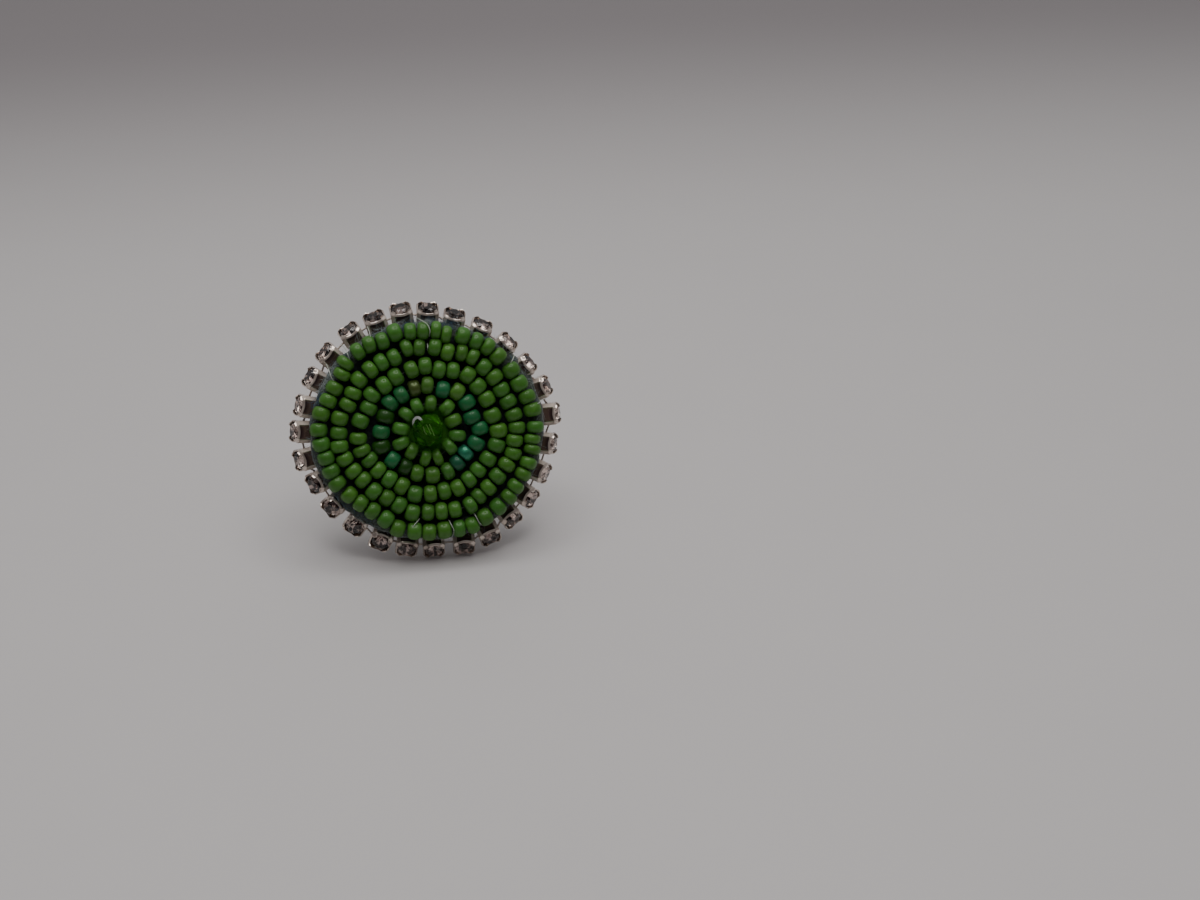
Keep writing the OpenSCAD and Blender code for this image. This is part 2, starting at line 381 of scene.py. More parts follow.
def fibres_on_felt():
    """Loose fibres scattered over a mesh, as densely as its attribute fuzz says, each leaning its own way."""
    tree = Builder("Fibres on felt")
    shape = tree.shape("Fibre")
    density = tree.input("Density")
    length = tree.input("Length")
    shortest = tree.input("Shortest")
    lean = tree.input("Lean")
    seed = tree.input("Seed", "NodeSocketInt")
    points = tree.node("GeometryNodeDistributePointsOnFaces", {}, {
        "Mesh": tree.geometry, "Density": density * tree.named("fuzz", "FLOAT"), "Seed": seed,
    })
    back = lean * -1.0
    wander = tree.add("FunctionNodeRandomValue", {"data_type": "FLOAT_VECTOR"}, {
        0: tree.add("ShaderNodeCombineXYZ", {}, {0: back, 1: back, 2: -math.pi}),
        1: tree.add("ShaderNodeCombineXYZ", {}, {0: lean, 1: lean, 2: math.pi}),
        "Seed": seed,
    })
    turn = tree.add("FunctionNodeRotateRotation", {"rotation_space": "LOCAL"}, {
        0: Wire(tree, points.outputs["Rotation"]),
        1: tree.add("FunctionNodeEulerToRotation", {}, {0: wander}),
    })
    share = tree.add(
        "FunctionNodeRandomValue", {"data_type": "FLOAT"}, {2: shortest, 3: 1.0, "Seed": seed}, 1
    )
    return tree.close(tree.add("GeometryNodeInstanceOnPoints", {}, {
        "Points": Wire(tree, points.outputs["Points"]), "Instance": shape, "Rotation": turn,
        "Scale": share * length,
    }))


def in_scene(name, mesh):
    """A new object with that mesh, in the scene."""
    made = bpy.data.objects.new(name, mesh)
    bpy.context.scene.collection.objects.link(made)
    return made


def mesh_object(name, vertices, faces=(), edges=(), smooth=True):
    """A new object from plain lists."""
    mesh = bpy.data.meshes.new(name)
    mesh.from_pydata([tuple(vertex) for vertex in vertices], list(edges), list(faces))
    mesh.validate()
    shade(mesh, smooth)
    return in_scene(name, mesh)


def shade(mesh, smooth):
    for polygon in mesh.polygons:
        polygon.use_smooth = smooth


def mark(made, key, values, domain="POINT"):
    """Gives an object's points or faces a number each, under that name."""
    made.data.attributes.new(key, "FLOAT", domain).data.foreach_set("value", values)


def point_cloud(name, rows):
    """Loose points, each row a dictionary of its place and the attributes that the node groups read."""
    made = mesh_object(name, [row["place"] for row in rows])
    for key, kind, field in (("turn", "FLOAT_VECTOR", "vector"), ("stretch", "FLOAT_VECTOR", "vector"),
                             ("tint", "FLOAT_COLOR", "color")):
        if key in rows[0]:
            flat = [number for row in rows for number in row[key]]
            made.data.attributes.new(key, kind, "POINT").data.foreach_set(field, flat)
    if "gleam" in rows[0]:
        mark(made, "gleam", [row["gleam"] for row in rows])
    return made


def delete(*made):
    for one in made:
        bpy.data.objects.remove(one, do_unlink=True)


def grown(name, source, group, values):
    """What a Geometry Nodes group makes of the source, as a plain mesh. The source is deleted."""
    modifier = source.modifiers.new(group.name, "NODES")
    modifier.node_group = group
    for item in group.interface.items_tree:
        if item.in_out == "INPUT" and item.name in values:
            modifier[item.identifier] = values[item.name]
    source.update_tag()
    graph = bpy.context.evaluated_depsgraph_get()
    result = source.evaluated_get(graph)
    mesh = bpy.data.meshes.new_from_object(result, preserve_all_data_layers=True, depsgraph=graph)
    source.modifiers.remove(modifier)
    delete(source)
    if not mesh.polygons:
        raise RuntimeError(f"{group.name} made nothing for {name}")
    mesh.name = name
    return in_scene(name, mesh)


def set_out(name, rows, shape, material):
    """A copy of the shape at each row's place, as one mesh."""
    group = bpy.data.node_groups.get("Shapes on points") or shapes_on_points()
    return grown(name, point_cloud(f"{name} points", rows), group, {
        "Shape": shape, "Size": (1.0, 1.0, 1.0), "Material": material,
    })


def merged(name, key, *parts):
    """Several objects' meshes as one object without material, with the attribute of that name kept."""
    joiner = bmesh.new()
    values = []
    for part in parts:
        own = [0.0] * len(part.data.vertices)
        part.data.attributes[key].data.foreach_get("value", own)
        values.extend(own)
        part.data.attributes.remove(part.data.attributes[key])
        joiner.from_mesh(part.data)
    mesh = bpy.data.meshes.new(name)
    joiner.to_mesh(mesh)
    joiner.free()
    delete(*parts)
    made = in_scene(name, mesh)
    mark(made, key, values)
    return made


def closed(made, merge=0.0, flat=0.0):
    """Merges corners nearer than that, joins faces at less than that angle and turns faces outwards."""
    shaper = bmesh.new()
    shaper.from_mesh(made.data)
    if merge:
        bmesh.ops.remove_doubles(shaper, verts=shaper.verts, dist=merge)
    if flat:
        bmesh.ops.dissolve_limit(shaper, angle_limit=flat, verts=shaper.verts, edges=shaper.edges)
    bmesh.ops.recalc_face_normals(shaper, faces=shaper.faces)
    shaper.to_mesh(made.data)
    shaper.free()
    return made


def finish_piece(made, replaced=(), material=None, place=None):
    """Puts a piece in place in the row's frame, and hides the CAD parts that it stands for."""
    if place is not None:
        made.data.transform(place)
    if material is not None:
        made.data.materials.clear()
        made.data.materials.append(material)
        made.data.polygons.foreach_set("material_index", [0] * len(made.data.polygons))
    made.data.update()
    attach(made, BODY)
    if replaced:
        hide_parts(*replaced)
    return made


def disc_place():
    """The matrix to the row's frame from the disc's, with its origin on the felt's front and +Z out of it."""
    bearing = next(mount for mount in frame["record"]["mounts"] if mount["name"] == "cuff_bearing")
    normal = Vector(bearing["axis"]).normalized()
    across = Vector((1, 0, 0))
    up = normal.cross(across)
    felt = [vertex.co for vertex in frame["nodes"]["foundation_felt"].data.vertices]
    reaches = [[co.dot(axis) for co in felt] for axis in (across, up, normal)]
    middles = [(min(reach) + max(reach)) / 2 for reach in reaches]
    place = Matrix((across, up, normal)).transposed().to_4x4()
    place.translation = across * middles[0] + up * middles[1] + normal * max(reaches[2])
    return place


DISC = disc_place()
DISC_INVERSE = DISC.inverted()


def local_points(node):
    """A CAD node's corners in the disc's frame."""
    return [DISC_INVERSE @ vertex.co for vertex in frame["nodes"][node].data.vertices]


def stone_setting(node):
    """A stone's matrix in the disc's frame: its origin amid the table, +Z out of it and +X back."""
    made = frame["nodes"][node]
    largest = {}
    for polygon in made.data.polygons:
        key = tuple(round(number, 3) for number in polygon.normal)
        largest[key] = largest.get(key, 0) + polygon.area
    table = Vector(max(largest, key=largest.get))
    corners = [vertex.co for vertex in made.data.vertices]
    top = max(corner.dot(table) for corner in corners)
    rim = [corner for corner in corners if corner.dot(table) > top - LEVEL]
    out = (DISC_INVERSE.to_3x3() @ table).normalized()
    back = -(Vector((0, 0, 1)) - out * out.z).normalized()
    setting = Matrix((back, out.cross(back), out)).transposed().to_4x4()
    setting.translation = DISC_INVERSE @ (sum(rim, Vector()) / len(rim))
    return setting


def setting_row(setting, height):
    """A point's row for a shape whose own zero lies that height below a stone's table."""
    place = setting @ Vector((0, 0, -height))
    return {"place": place, "turn": tuple(setting.to_euler()), "stretch": (1.0, 1.0, 1.0)}


def on_disc(angle, radius, height, oval):
    """A point of the disc's frame, from its angle in degrees, its radius the wide way and its height."""
    turn = math.radians(angle)
    return Vector((radius * math.cos(turn), oval * radius * math.sin(turn), height))


def grid_faces(rows, columns, wrap_rows=False, wrap_columns=True, flip=False):
    """Quads over a grid of vertices that are listed row by row."""
    faces = []
    for row in range(rows if wrap_rows else rows - 1):
        here = row * columns
        there = (row + 1) % rows * columns
        for column in range(columns if wrap_columns else columns - 1):
            after = (column + 1) % columns
            quad = (here + column, here + after, there + after, there + column)
            faces.append((quad[0], quad[3], quad[2], quad[1]) if flip else quad)
    return faces


def around(count, radius=1.0, shift=0.0):
    """Even points (x, y) on a circle, the first one turned on by that share of a step."""
    turns = [math.tau * (step + shift) / count for step in range(count)]
    return [(radius * math.cos(turn), radius * math.sin(turn)) for turn in turns]


def lathe(profile, sides, close_profile=False):
    """Vertices and faces of a profile of (x, r) pairs turned about the X axis."""
    vertices = [(x, y, z) for x, radius in profile for y, z in around(sides, radius)]
    return vertices, grid_faces(len(profile), sides, wrap_rows=close_profile)


def smooth_path(corners, steps, closed_path=False):
    """Points on a smooth curve through the corners."""
    count = len(corners)
    path = []
    for index in range(count if closed_path else count - 1):
        four = [index + shift for shift in (-1, 0, 1, 2)]
        if closed_path:
            four = [pick % count for pick in four]
        before, start, end, after = [corners[min(max(pick, 0), count - 1)] for pick in four]
        for step in range(steps):
            t = step / steps
            path.append(0.5 * (
                2 * start + (end - before) * t + (2 * before - 5 * start + 4 * end - after) * t ** 2
                + (3 * start - before - 3 * end + after) * t ** 3
            ))
    if not closed_path:
        path.append(corners[-1].copy())
    return path


def waves(seed, counts, least, most):
    """Waves round a disc's edge, each as its count, its phase and its size."""
    chance = random.Random(seed)
    return [(count, chance.uniform(0, math.tau), chance.uniform(least, most)) for count in counts]


def ripple(swell, turn):
    return sum(size * math.sin(count * turn + phase) for count, phase, size in swell)


def ramp(value, width):
    """0 below 0, 1 above the width and even between them."""
    return min(1.0, max(0.0, value / width))


def bead_glass():
    """Opaque glossy glass, coloured bead by bead."""
    finish = Finish("bead glass", {
        "IOR": 1.5, "Specular IOR Level": 0.2, "Coat Weight": 0.45, "Coat Roughness": 0.02, "Coat IOR": 1.45,
    })
    cloud = finish.noise(1800.0, 2.0)
    tint = finish.attribute("tint", "Color")
    gleam = finish.attribute("gleam")
    finish.vary(
        Base_Color=finish.blend(cloud.between(0.3, 0.75) * 0.25, tint, srgb(34, 78, 18)),
        Metallic=gleam * 0.75,
        Roughness=0.5 - gleam * 0.3 + cloud * 0.08,
    )
    finish.bump(finish.noise(5200.0, 2.0), 0.006 * MM, 0.5)
    return finish.material


# The odd beads' colours, each with how metallic it gleams
PALETTE = {
    "light": (srgb(72, 120, 42), 0.0),
    "teal": (srgb(28, 104, 58), 0.0),
    "dark": (srgb(22, 66, 6), 0.0),
    "gold": (srgb(74, 92, 46), 0.55),
    "shiny": (srgb(46, 132, 100), 0.6),
    "blue": (srgb(24, 86, 62), 0.2),
}
# The share of the room along its thread that a bead fills in the crowded first ring, and in the others
FIRST_FILL = 0.88
FILL = 0.965
# How far one bead differs from the next: its length, width, brightness and warmth as shares, its tilt and
# swing in degrees and its lift in millimetres
LENGTH_RANGE = (0.97, 1.0)
WIDTH_RANGE = (0.96, 1.02)
TILT_RANGE = (-7, 7)
SWING_RANGE = (-6, 6)
LIFT_RANGE = (-0.05, 0.1)
BRIGHTNESS_RANGE = (0.86, 1.12)
WARMTH_RANGE = (0.9, 1.12)


def bead_shape(settings):
    """One seed bead about the X axis, a millimetre long and a millimetre across."""
    outer = 0.5
    inner = outer * settings.hole / settings.diameter
    # Between a circle's bulge, at 1, and a plain tube's square edge, at 0
    bulge = 0.8
    steps = 10
    # The hole is a little narrower inside than at its mouths
    waist = inner * 0.85
    waist_reach = 0.35
    profile = []
    for step in range(steps + 1):
        turn = math.pi * step / steps
        reach = math.copysign(abs(math.cos(turn)) ** bulge, math.cos(turn))
        profile.append((reach * outer, inner + (outer - inner) * math.sin(turn) ** bulge))
    profile += [(-waist_reach, waist), (waist_reach, waist)]
    vertices, faces = lathe([(x * MM, radius * MM) for x, radius in profile], settings.sides, True)
    return mesh_object("bead shape", vertices, faces)


def bead_places(ring, settings):
    """The middles of a ring's beads in the disc's frame."""
    radius = settings.first_ring + ring * settings.pitch
    height = settings.diameter / 2 + 0.02 * MM
    return [on_disc(angle, radius + stray * 0.1 * MM, height, settings.oval) for angle, stray in BEADS[ring]]


def bead_rows(ring, settings):
    """A row of attributes for each bead of a ring."""
    chance = random.Random(100 + ring)
    places = bead_places(ring, settings)
    fill = FIRST_FILL if ring == 0 else FILL
    rows = []
    for index, place in enumerate(places):
        before = places[index - 1]
        after = places[(index + 1) % len(places)]
        gap = min((place - before).length, (after - place).length)
        length = min(gap * fill, settings.longest) * chance.uniform(*LENGTH_RANGE)
        width = settings.diameter * chance.uniform(*WIDTH_RANGE)
        along = after - before
        tilt = math.radians(chance.uniform(*TILT_RANGE))
        swing = math.radians(chance.uniform(*SWING_RANGE))
        lift = Vector((0, 0, chance.uniform(*LIFT_RANGE) * MM))
        tint, gleam = settings.green, 0.0
        if ring == 1 and SECOND_RING[index] in PALETTE:
            tint, gleam = PALETTE[SECOND_RING[index]]
        brightness = chance.uniform(*BRIGHTNESS_RANGE)
        warmth = chance.uniform(*WARMTH_RANGE)
        rows.append({
            "place": place + lift,
            "turn": (0.0, tilt, math.atan2(along.y, along.x) + swing),
            "stretch": (length / MM, width / MM, width / MM),
            "tint": (
                tint[0] * brightness * warmth, tint[1] * brightness, tint[2] * brightness / warmth, 1.0
            ),
            "gleam": gleam,
        })
    return rows


class CUFFLINK_OT_beads(bpy.types.Operator):
    """Sews the five rings of seed beads"""

    bl_idname = "cufflink.beads"
    bl_label = "Bead rings"

    def execute(self, context):
        settings = context.scene.cufflink_beads
        material = bead_glass()
        shape = bead_shape(settings)
        for ring, node in enumerate(RING_NAMES):
            made = set_out(f"{node}_beads", bead_rows(ring, settings), shape, material)
            finish_piece(made, [node], place=DISC)
        delete(shape)
        return {"FINISHED"}


def nylon(name, colour):
    """Smooth, slightly milky beading thread."""
    finish = Finish(name, {"Base Color": colour, "IOR": 1.5, "Transmission Weight": 0.35})
    finish.vary(Roughness=0.25 + finish.noise(900.0) * 0.2)
    return finish.material


def sew(name, paths, thickness, material, closed_path=False):
    """A piece of thread along each path in the disc's frame."""
    vertices, edges = [], []
    for path in paths:
        start = len(vertices)
        vertices.extend(path)
        last = len(path) if closed_path else len(path) - 1
        edges.extend((start + step, start + (step + 1) % len(path)) for step in range(last))
    group = bpy.data.node_groups.get("Thread on edges") or thread_on_edges()
    made = grown(name, mesh_object(f"{name} paths", vertices, edges=edges), group, {
        "Radius": thickness / 2, "Sides": 8, "Material": material,
    })
    return finish_piece(made, place=DISC)


class CUFFLINK_OT_thread(bpy.types.Operator):
    """Runs the thread through the beads and lays the stitches that show"""

    bl_idname = "cufflink.thread"
    bl_label = "Thread and stitches"

    def execute(self, context):
        settings = context.scene.cufflink_beads
        rings = [smooth_path(bead_places(ring, settings), 4, True) for ring in range(len(RING_NAMES))]
        sew("beading_thread", rings, settings.thread, nylon("ring thread", srgb(46, 62, 44)), True)
        stitches = []
        for stitch in STITCHES:
            corners = [on_disc(angle, radius, height, settings.oval) * MM for angle, radius, height in stitch]
            stitches.append(smooth_path(corners, 6))
        sew("rim_stitches", stitches, settings.stitch, nylon("stitch thread", srgb(206, 214, 204)))
        return {"FINISHED"}


def crystal_glass(settings):
    """Clear green cut glass."""
    finish = Finish("crystal glass", {
        "IOR": 1.54, "Transmission Weight": 0.82, "Specular Tint": srgb(96, 160, 60),
    })
    depth = finish.noise(700.0, 2.0)
    finish.vary(
        Base_Color=finish.blend(depth.between(0.35, 0.7), settings.colour[:], srgb(40, 110, 18)),
        Roughness=0.02 + depth * 0.03,
    )
    return finish.material


def rounded_copy(name, node, width, segments, least_angle):
    """A copy of a CAD node whose edges are rounded where faces meet at more than that angle in degrees."""
    made = in_scene(name, frame["nodes"][node].data.copy())
    made.data.name = name
    closed(made, 2 * SAME, math.radians(1))
    bevel = made.modifiers.new("edges", "BEVEL")
    bevel.width = width
    bevel.segments = segments
    bevel.limit_method = "ANGLE"
    bevel.angle_limit = math.radians(least_angle)
    graph = bpy.context.evaluated_depsgraph_get()
    rounded = bpy.data.meshes.new_from_object(made.evaluated_get(graph))
    made.modifiers.remove(bevel)
    made.data = rounded
    return made


def crystal_loops(settings, middle):
    """The thread's paths over the tip of the crystal, whose middle is given in the disc's frame."""
    lean, towards = settings.lean, settings.lean_to
    tip = Vector((
        math.sin(lean) * math.cos(towards), math.sin(lean) * math.sin(towards), math.cos(lean)
    ))
    across = Vector((math.sin(towards), -math.cos(towards), 0))
    down = tip.cross(across)
    loops = []
    for radius in LOOP_RADII:
        corners = []
        for degrees, widening, height in LOOP:
            turn = math.radians(degrees)
            out = (down * math.cos(turn) + across * math.sin(turn)) * radius * (1 + widening) * MM
            corners.append(middle + tip * (settings.length / 2 + height * MM) + out)
        loops.append(smooth_path(corners, 5))
    return loops


def crystal_strands(settings, corners):
    """The thread's paths that lie on the crystal, whose corners are given in the disc's frame."""
    faces = [tuple(polygon.vertices) for polygon in frame["nodes"]["centre_crystal"].data.polygons]
    glass = BVHTree.FromPolygons(corners, faces)
    # Each point falls from well above the crystal, and the thread's middle lies this far over its glass
    start = 10 * MM
    over = Vector((0, 0, settings.loop * 0.4))
    strands = []
    for strand in STRANDS:
        falls = [glass.ray_cast(Vector((x * MM, y * MM, start)), Vector((0, 0, -1)))[0] for x, y in strand]
        strands.append(smooth_path([fall + over for fall in falls], 4))
    return strands


class CUFFLINK_OT_crystal(bpy.types.Operator):
    """Polishes the edges of the cut crystal at the middle and loops the thread over its tip"""

    bl_idname = "cufflink.crystal"
    bl_label = "Centre crystal"

    def execute(self, context):
        settings = context.scene.cufflink_crystal
        made = rounded_copy(
            "centre_crystal_glass", "centre_crystal", settings.edge, segments=2, least_angle=20
        )
        shade(made.data, False)
        finish_piece(made, ["centre_crystal"], crystal_glass(settings))
        corners = local_points("centre_crystal")
        loops = crystal_loops(settings, sum(corners, Vector()) / len(corners))
        sew("crystal_loop", loops, settings.loop, nylon("loop thread", srgb(196, 200, 198)))
        strands = crystal_strands(settings, corners)
        sew("crystal_strands", strands, settings.loop, nylon("tinted thread", srgb(104, 150, 74)))
        return {"FINISHED"}


def chain_metal(settings):
    """Bright plate, painted darker where the cups' attribute is above 0 and darkest near 1: painted shade
    under the lips and on the undersides, and a painted dark reflection of the room on the front walls. Pale
    satin plate where the attribute is below 0.
    """
    finish = Finish("chain plate", {})
    patches = finish.noise(700.0, 4.0).between(0.45, 0.75)
    satin_and_shade = finish.attribute("satin_and_shade")
    painted_shade = satin_and_shade.between(0.0, 0.5)
    paleness = (satin_and_shade + 1.0).between(1.0, 0.0)
    bright = finish.blend(patches * 0.6, settings.metal[:], srgb(132, 116, 106))
    # The painted shade's colours, the darker one under the lips
    shade_colour = finish.blend(satin_and_shade.between(0.7, 1.0), srgb(118, 96, 88), srgb(62, 42, 48))
    finish.vary(
        Base_Color=finish.blend(painted_shade, bright, shade_colour),
        Metallic=1.0 - painted_shade * 0.55 - paleness * 0.85,
        Roughness=0.12 + patches * 0.12 + satin_and_shade * 0.2,
    )
    finish.bump(finish.noise(3800.0, 3.0), 0.008 * MM, 0.4)
    return finish.material


# The attribute's values at the cups' corners, at the edge under their lips, at the lips' tops, at the middle
# of their
# undersides and at the links: below 0 pale satin plate, above 0 painted shade
CORNER_SATIN = -0.9
EDGE_SATIN = -0.5
LIP_SATIN = -0.3
UNDERSIDE_SHADE = 0.3
LINK_SATIN = -1.0


# Edges of the cups sharper than this angle in degrees stay crisp
SHARP = 32


def cup_section(settings, turn):
    """The sheet at one turn about the cup's axis, from underside to floor, as (radius, height, and a value
    that paints shade above 0 and makes pale satin plate below 0).
    """
    # The corners' cut, the walls' dip between two corners, and the prongs' reach from the axis
    chamfer = 0.42 * MM
    dip = 0.14 * MM
    tip_radius = 1.12 * MM
    # Half the width of the front wall's flat, which is painted in shade, and of a prong, and where they fade,
    # in degrees
    flat, flat_fade = 40, 5
    prong_half, prong_fade = 16, 6
    degrees = math.degrees(turn)
    cosine, sine = abs(math.cos(turn)), abs(math.sin(turn))
    # The front wall's flat is painted in shade, a painted dark reflection of the room
    wall = ramp(flat - abs(degrees - 180), flat_fade)
    outer = min(settings.width / 2 / max(cosine, sine), (settings.width - chamfer) / (cosine + sine))
    off_corner = abs(degrees % 90 - 45)
    corner = max(0.0, 1 - off_corner / 45)
    prong = ramp(prong_half - off_corner, prong_fade)
    prong = prong * prong * (3 - 2 * prong)
    inner = outer - settings.sheet * (1 + 0.9 * corner * corner)
    top = settings.height - dip * math.cos(2 * turn) ** 2
    tip = settings.tip_height

    def folded(plain, prong_value):
        return plain + (prong_value - plain) * prong

    # Up the front wall the painted shade deepens towards the lip, a painted shadow under it
    outside = [
        (outer * 0.9, 0.0, wall * 0.6),
        (outer * 0.985, 0.02 * MM, wall * 0.6),
        (outer, 0.12 * MM, wall * 0.6),
        (outer, top * 0.5, wall * 0.75),
        (outer, top - 0.26 * MM, wall),
    ]
    lip = [
        (outer + 0.01 * MM, top - 0.23 * MM, EDGE_SATIN),
        (outer - folded(0.03, 0.06) * MM, folded(top - 0.11 * MM, tip - 0.29 * MM), EDGE_SATIN),
        (outer - folded(0.11, 0.24) * MM, folded(top - 0.02 * MM, tip - 0.17 * MM), EDGE_SATIN),
        (folded(outer - 0.15 * MM, tip_radius + 0.1 * MM), folded(top, tip), LIP_SATIN),
    ]
    inside = [
        (folded(inner, tip_radius), folded(top, tip) - 0.04 * MM, 0.0),
        (folded(inner, tip_radius + 0.12 * MM), folded(top - 0.1 * MM, tip - 0.12 * MM), 0.0),
        (inner, top - folded(0.2, 0.14) * MM, 0.0),
        (inner, 0.2 * MM, 0.0),
        (inner * 0.5, settings.sheet, 0.0),
    ]
    return [(radius, height, folded(row_shade, CORNER_SATIN)) for radius, height, row_shade in outside] + lip + inside


def cup_shape(settings):
    """A square cup of sheet metal, its four corners drawn up and folded in over the stone."""
    columns = 72
    vertices, satin_and_shade = [], []
    for column in range(columns):
        turn = math.tau * column / columns
        for radius, height, row_shade in cup_section(settings, turn):
            vertices.append((radius * math.cos(turn), radius * math.sin(turn), height))
            satin_and_shade.append(row_shade)
    rows = len(vertices) // columns
    faces = grid_faces(columns, rows, wrap_rows=True, wrap_columns=False, flip=True)
    under, floor = len(vertices), len(vertices) + 1
    vertices += [(0, 0, 0), (0, 0, settings.sheet)]
    satin_and_shade += [UNDERSIDE_SHADE, 0.0]
    for column in range(columns):
        here = column * rows
        there = (column + 1) % columns * rows
        faces.append((there, here, under))
        faces.append((here + rows - 1, there + rows - 1, floor))
    made = mesh_object("cup shape", vertices, faces)
    # Above 0 the attribute paints shade on the front walls and undersides, below 0 it makes the corners and
    # lips pale satin plate
    mark(made, "satin_and_shade", satin_and_shade)
    made.data.set_sharp_from_angle(angle=math.radians(SHARP))
    return made


def rod_shape():
    """A bar along X, a millimetre long and a millimetre across, with rounded ends."""
    profile = [(-0.5, 0.0), (-0.5, 0.36), (-0.42, 0.5), (0.42, 0.5), (0.5, 0.36), (0.5, 0.0)]
    vertices, faces = lathe([(x * MM, radius * MM) for x, radius in profile], 12)
    made = closed(mesh_object("rod shape", vertices, faces), SAME)
    mark(made, "satin_and_shade", [LINK_SATIN] * len(made.data.vertices))
    return made


def link_rows(settings, stones):
    """A row for the bar between each stone's cup and the next one's, except at the chain's ends."""
    # How far a bar reaches into each cup
    overlap = 0.1 * MM
    reach = settings.width / 2 - overlap
    height = settings.link_height - settings.table_height
    left, right = (Vector((0, side * reach, height)) for side in (1, -1))
    rows = []
    for index, stone in enumerate(stones):
        if index == SEAM:
            continue
        after = stones[(index + 1) % len(stones)]
        bars = [(stone @ left, after @ right), (stone @ right, after @ left)]
        start, end = min(bars, key=lambda bar: (bar[1] - bar[0]).length)
        span = end - start
        rows.append({
            "place": (start + end) / 2,
            "turn": tuple(span.to_track_quat("X", "Z").to_euler()),
            "stretch": (span.length / MM, settings.link / MM, settings.link / MM),
        })
    return rows


class CUFFLINK_OT_cups(bpy.types.Operator):
    """Makes the chain of folded cups round the rim and the bars between them"""

    bl_idname = "cufflink.cups"
    bl_label = "Cup chain"

    def execute(self, context):
        settings = context.scene.cufflink_rim
        material = chain_metal(settings)
        stones = [stone_setting(name) for name in STONE_NAMES]
        cup, rod = cup_shape(settings), rod_shape()
        cups = set_out("cups", [setting_row(stone, settings.table_height) for stone in stones], cup, material)
        links = set_out("links", link_rows(settings, stones), rod, material)
        chain = merged("cup_chain_plate", "satin_and_shade", cups, links)
        finish_piece(chain, ["cup_chain"], material, DISC)
        delete(cup, rod)
        return {"FINISHED"}


def stone_glass():
    """Clear cut glass, browner on some facets than on others: painted glints that vary from facet to facet.
    """
    finish = Finish("stone glass", {"IOR": 1.56, "Transmission Weight": 1.0})
    facet_glint = finish.attribute("facet_glint")
    finish.vary(
        Base_Color=finish.blend(facet_glint.between(0.55, 0.95), srgb(250, 247, 244), srgb(158, 146, 140)),
        Roughness=finish.noise(2500.0, 2.0) * 0.05,
    )
    return finish.material


def stone_foil():
    """The mirror foil behind a stone, painted dark on some facets as painted glints, and with a faint glow on
    its paler facets, a painted sparkle in the shade.
    """
    finish = Finish("stone foil", {"Metallic": 1.0, "Emission Strength": 1.0})
    grey = finish.noise(600.0, 1.0)
    facet_glint = finish.attribute("facet_glint")
    plate = finish.blend(grey.between(0.4, 0.7) * 0.6, srgb(198, 186, 179), srgb(120, 100, 92))
    finish.vary(
        Base_Color=finish.blend(facet_glint.between(0.35, 0.7), plate, srgb(50, 36, 36)),
        Emission_Color=finish.blend(facet_glint.between(0.3, 0.05), (0, 0, 0, 1), srgb(110, 98, 94)),
        Roughness=0.08 + grey * 0.05,
    )
    return finish.material


def stone_shape(settings):
    """A round stone with its table at height 0, and the height under which its facets are foiled."""
    radius = settings.stone / 2
    table_radius = 0.68 * MM
    kite_radius = 0.94 * MM
    kite_height = -0.17 * MM
    crown = -0.41 * MM
    belt = crown - 0.08 * MM
    waist_radius = radius * 0.5
    waist_height = belt - 0.46 * MM
    culet_height = belt - 0.86 * MM
    vertices = []

    def ring(count, size, height, shift=0.0):
        start = len(vertices)
        vertices.extend((x, y, height) for x, y in around(count, size, shift))
        return list(range(start, start + count))

    table = ring(8, table_radius, 0.0)
    kites = ring(8, kite_radius, kite_height, 0.5)
    upper = ring(16, radius, crown)
    lower = ring(16, radius, belt)
    waist = ring(8, waist_radius, waist_height)
    vertices.append((0, 0, culet_height))
    culet = len(vertices) - 1
    crown_faces = [tuple(table)]
    foil_faces = []
    for corner in range(8):
        after = (corner + 1) % 8
        edge, between, next_edge = 2 * corner, 2 * corner + 1, (2 * corner + 2) % 16
        crown_faces += [
            (table[corner], kites[corner], table[after]),
            (table[corner], kites[corner - 1], upper[edge]),
            (table[corner], upper[edge], kites[corner]),
            (kites[corner], upper[edge], upper[between]),
            (kites[corner], upper[between], upper[next_edge]),
        ]
        foil_faces += [
            (lower[edge], waist[corner], lower[between]),
            (lower[between], waist[corner], waist[after]),
            (lower[between], waist[after], lower[next_edge]),
            (waist[corner], culet, waist[after]),
        ]
    for corner in range(16):
        after = (corner + 1) % 16
        crown_faces.append((upper[corner], lower[corner], lower[after], upper[after]))
    made = mesh_object("stone shape", vertices, crown_faces + foil_faces, smooth=False)
    return closed(made), belt


class CUFFLINK_OT_stones(bpy.types.Operator):
    """Sets a foiled stone in each cup"""

    bl_idname = "cufflink.stones"
    bl_label = "Rhinestones"

    def execute(self, context):
        shape, belt = stone_shape(context.scene.cufflink_rim)
        stones = [stone_setting(name) for name in STONE_NAMES]
        glass = stone_glass()
        made = set_out("rhinestones", [setting_row(stone, 0.0) for stone in stones], shape, glass)
        mesh = made.data
        mesh.materials.clear()
        mesh.materials.append(glass)
        mesh.materials.append(stone_foil())
        chance = random.Random(41)
        # A random number for each face, by which the facets are painted pale or dark and some of them glow:
        # painted glints
        mark(made, "facet_glint", [chance.random() for polygon in mesh.polygons], "FACE")
        faces_each = len(mesh.polygons) // len(stones)
        for index, polygon in enumerate(mesh.polygons):
            setting = stones[index // faces_each].inverted()
            heights = [(setting @ mesh.vertices[corner].co).z for corner in polygon.vertices]
            foiled = sum(heights) / len(heights) < belt - LEVEL
            polygon.material_index = 1 if foiled else 0
        finish_piece(made, STONE_NAMES, place=DISC)
        delete(shape)
        return {"FINISHED"}


